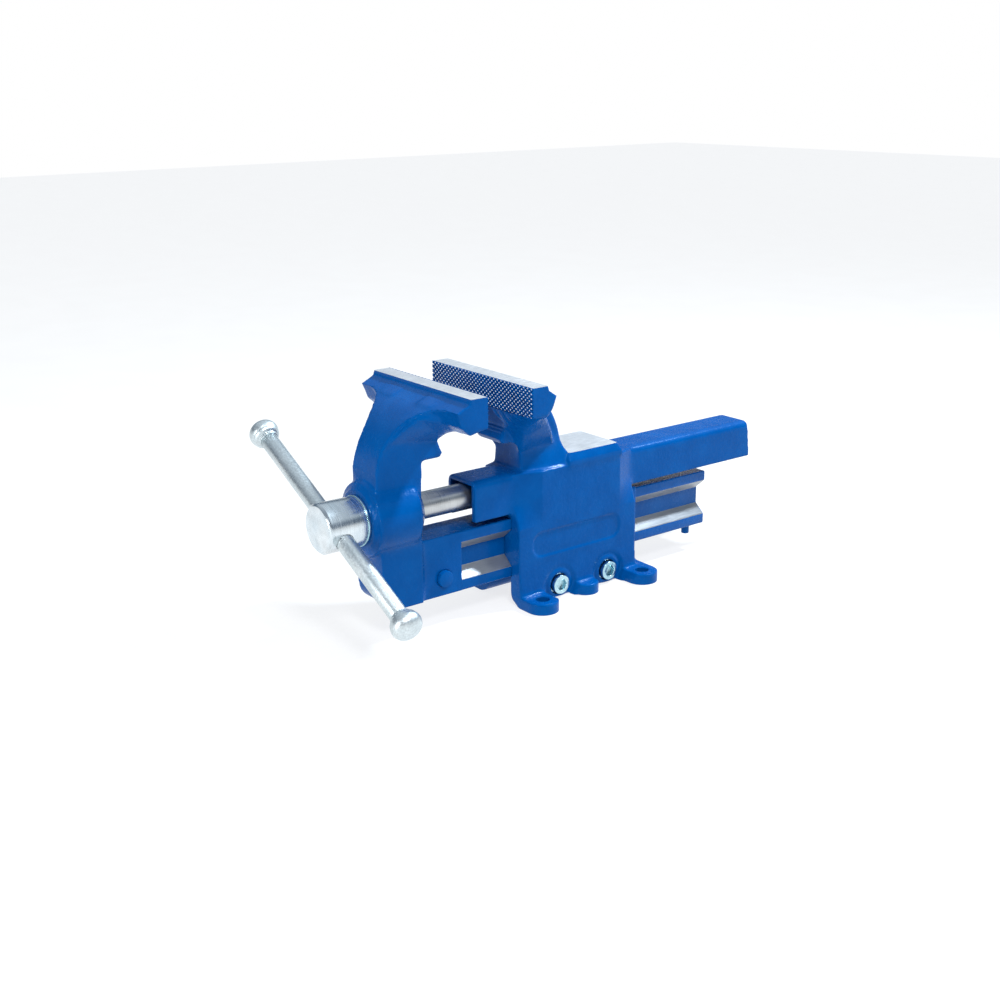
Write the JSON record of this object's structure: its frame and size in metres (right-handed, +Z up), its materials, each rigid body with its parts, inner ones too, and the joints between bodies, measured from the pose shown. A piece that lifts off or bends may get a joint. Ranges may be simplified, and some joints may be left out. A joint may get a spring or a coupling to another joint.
{
  "type": "bench vise",
  "caption": "Forged steel bench vise with wide serrated jaws, a pipe jaw, an anvil, a hooded screw spindle with a cross handle, and an I-section guide bar below.",
  "frame": {"origin": "centre of the four mounting holes, on the face that stands on the bench", "axes": "+X along the jaw width, +Y from the handle towards the rear beam, +Z up"},
  "size_m": [0.2483, 0.5012, 0.219],
  "materials": {
    "blue_enamel": "gloss enamel over forged steel",
    "machined_steel": "turned and ground",
    "forged_steel": "satin zinc",
    "zinc_steel": "bright zinc",
    "bronze": "turned"
  },
  "bodies": {
    "fixed_jaw": {"fixed_jaw_body": "blue_enamel", "clamp_screws": "zinc_steel", "clamp_screw_washers": "zinc_steel", "clamp_lock_nuts": "zinc_steel", "spindle_nut": "machined_steel", "nut_screws": "zinc_steel"},
    "moving_jaw_and_bar": {"moving_jaw": "blue_enamel", "spindle_bush": "bronze", "guide_bar_plug": "blue_enamel", "stop_pin": "machined_steel"},
    "spindle_and_hub": {"spindle": "machined_steel", "spindle_head": "forged_steel", "head_pin": "machined_steel", "thrust_washer": "zinc_steel", "back_washer": "zinc_steel", "retaining_collar": "machined_steel", "collar_pin": "machined_steel"},
    "handle": {"handle_bar": "forged_steel", "handle_knob_upper": "forged_steel", "handle_knob_lower": "forged_steel"}
  },
  "joints": [
    {"name": "jaw_slide", "type": "slide", "parent": "fixed_jaw", "child": "moving_jaw_and_bar", "axis": [0, -1, 0], "range_m": [-0.0459, 0.125]},
    {"name": "spindle_turn", "type": "hinge", "parent": "moving_jaw_and_bar", "child": "spindle_and_hub", "pos_m": [0, -0.2, 0.11], "axis": [0, -1, 0], "range_deg": [-3304.8, 9000]},
    {"name": "bar_slide", "type": "slide", "parent": "spindle_and_hub", "child": "handle", "axis": [0.898, 0, -0.4399], "range_m": [-0.0899, 0.0967]}
  ],
  "couplings": [
    {"joint": "jaw_slide", "follows": "spindle_turn", "m_per_rad": 0.00079577}
  ]
}
